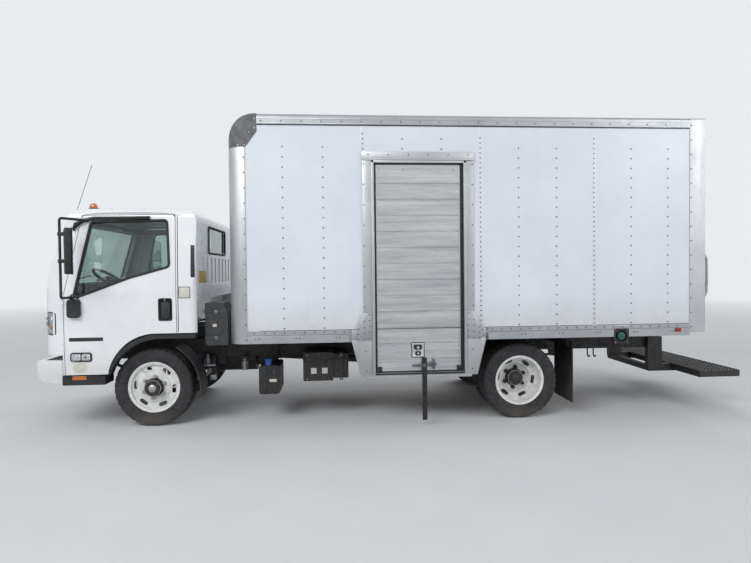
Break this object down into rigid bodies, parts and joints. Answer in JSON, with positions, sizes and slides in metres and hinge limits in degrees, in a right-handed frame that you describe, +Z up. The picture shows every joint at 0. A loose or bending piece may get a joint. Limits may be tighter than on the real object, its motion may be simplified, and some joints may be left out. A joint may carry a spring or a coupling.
{
  "type": "box truck",
  "caption": "Low-cab-forward delivery truck with a closed cargo box, a roll-up side door over a step well, twin rear wheels and a rear step.",
  "frame": {"origin": "on the ground, under the middle of the whole outline", "axes": "+X towards the rear (the cab faces -X), +Y towards the passenger's side, +Z up"},
  "size_m": [7.479, 2.71, 3.134],
  "materials": {
    "white_paint": "gloss",
    "white_panel": "painted white, satin",
    "rail_aluminium": "satin",
    "slat_aluminium": "brushed",
    "roof_sheet": "satin",
    "black_plastic": "matt",
    "grey_plastic": "matt",
    "black_steel": "satin",
    "grey_steel": "satin",
    "galvanised": "satin",
    "cast_parts": "as cast",
    "latch_chrome": "bright",
    "strap_web": "woven",
    "seat_cloth": "woven",
    "floor_wood": "oiled",
    "tyre_rubber": "matt",
    "flap_rubber": "matt",
    "rim_steel": "gloss",
    "clear_glass": "clear, slightly tinted",
    "lamp_lens": "clear",
    "amber_lens": "clear",
    "red_lens": "clear",
    "mirror_body": "matt"
  },
  "bodies": {
    "chassis": {"air_cleaner": "black_plastic", "battery_box": "black_steel", "box_corner_caps": "grey_plastic", "box_floor": "floor_wood", "box_front_wall": "white_panel", "box_rails": "rail_aluminium", "box_roof": "roof_sheet", "box_underframe": "black_steel", "box_wall_left": "white_panel", "box_wall_right": "white_panel", "def_tank": "black_plastic", "driveshaft": "black_steel", "engine_block": "cast_parts", "exhaust": "galvanised", "frame_crossmembers": "black_steel", "frame_rail_left": "black_steel", "frame_rail_right": "black_steel", "front_axle_beam": "cast_parts", "front_bumper": "white_paint", "front_steps": "black_plastic", "fuel_filler": "black_plastic", "fuel_tank": "grey_steel", "leaf_springs": "black_steel", "mudguards": "flap_rubber", "pull_strap": "strap_web", "rear_axle": "cast_parts", "rear_door": "slat_aluminium", "rear_frame": "galvanised", "rear_lamps": "red_lens", "rear_step": "black_steel", "side_door": "slat_aluminium", "side_door_frame": "rail_aluminium", "side_door_latch": "latch_chrome", "side_door_well": "galvanised"},
    "cab": {"cab_shell": "white_paint", "cab_glass": "clear_glass", "headlamps": "lamp_lens", "front_grille": "black_plastic", "roof_lamps": "amber_lens", "fender_flares": "black_plastic", "dashboard": "grey_plastic", "seats": "seat_cloth"},
    "door_left": {"cab_door_left": "white_paint", "door_glass_left": "clear_glass", "mirror_left": "mirror_body"},
    "door_right": {"cab_door_right": "white_paint", "door_glass_right": "clear_glass", "mirror_right": "mirror_body"},
    "steering_wheel": {"steering_wheel": "black_plastic"},
    "knuckle_left": {"knuckle_left": "cast_parts"},
    "knuckle_right": {"knuckle_right": "cast_parts"},
    "tie_rod": {"tie_rod": "cast_parts"},
    "front_left_wheel": {"front_tyre_left": "tyre_rubber", "front_rim_left": "rim_steel"},
    "front_right_wheel": {"front_tyre_right": "tyre_rubber", "front_rim_right": "rim_steel"},
    "rear_left_wheels": {"rear_tyres_left": "tyre_rubber", "rear_rims_left": "rim_steel"},
    "rear_right_wheels": {"rear_tyres_right": "tyre_rubber", "rear_rims_right": "rim_steel"}
  },
  "joints": [
    {"name": "cab_tilt", "type": "hinge", "parent": "chassis", "child": "cab", "pos_m": [-3.5695, 0, 0.73], "axis": [0, -1, 0], "range_deg": [0, 45]},
    {"name": "door_left", "type": "hinge", "parent": "cab", "child": "door_left", "pos_m": [-3.4005, -1.032, 1], "axis": [0, 0, -1], "range_deg": [0, 70]},
    {"name": "door_right", "type": "hinge", "parent": "cab", "child": "door_right", "pos_m": [-3.4005, 1.032, 1], "axis": [0, 0, 1], "range_deg": [0, 70]},
    {"name": "steer_left", "type": "hinge", "parent": "chassis", "child": "knuckle_left", "pos_m": [-2.5695, -0.76, 0.4], "axis": [0, 0, 1], "range_deg": [-38, 38]},
    {"name": "steer_right", "type": "hinge", "parent": "chassis", "child": "knuckle_right", "pos_m": [-2.5695, 0.76, 0.4], "axis": [0, 0, 1], "range_deg": [-38, 38]},
    {"name": "tie_rod", "type": "hinge", "parent": "knuckle_left", "child": "tie_rod", "pos_m": [-2.4195, -0.76, 0.301], "axis": [0, 0, 1], "range_deg": [-38, 38]},
    {"name": "steering_wheel", "type": "hinge", "parent": "cab", "child": "steering_wheel", "pos_m": [-3.1295, -0.51, 1.5], "axis": [0.5736, 0, 0.8192], "range_deg": [-720, 720]},
    {"name": "front_left_spin", "type": "hinge", "parent": "knuckle_left", "child": "front_left_wheel", "pos_m": [-2.5695, -0.833, 0.4], "axis": [0, 1, 0], "continuous": true},
    {"name": "front_right_spin", "type": "hinge", "parent": "knuckle_right", "child": "front_right_wheel", "pos_m": [-2.5695, 0.833, 0.4], "axis": [0, 1, 0], "continuous": true},
    {"name": "rear_left_spin", "type": "hinge", "parent": "chassis", "child": "rear_left_wheels", "pos_m": [1.2405, -0.825, 0.4], "axis": [0, 1, 0], "continuous": true},
    {"name": "rear_right_spin", "type": "hinge", "parent": "chassis", "child": "rear_right_wheels", "pos_m": [1.2405, 0.825, 0.4], "axis": [0, 1, 0], "continuous": true}
  ],
  "couplings": [
    {"joint": "steer_right", "follows": "steer_left", "ratio": 1},
    {"joint": "tie_rod", "follows": "steer_left", "ratio": -1},
    {"joint": "steering_wheel", "follows": "steer_left", "ratio": 18.9}
  ]
}
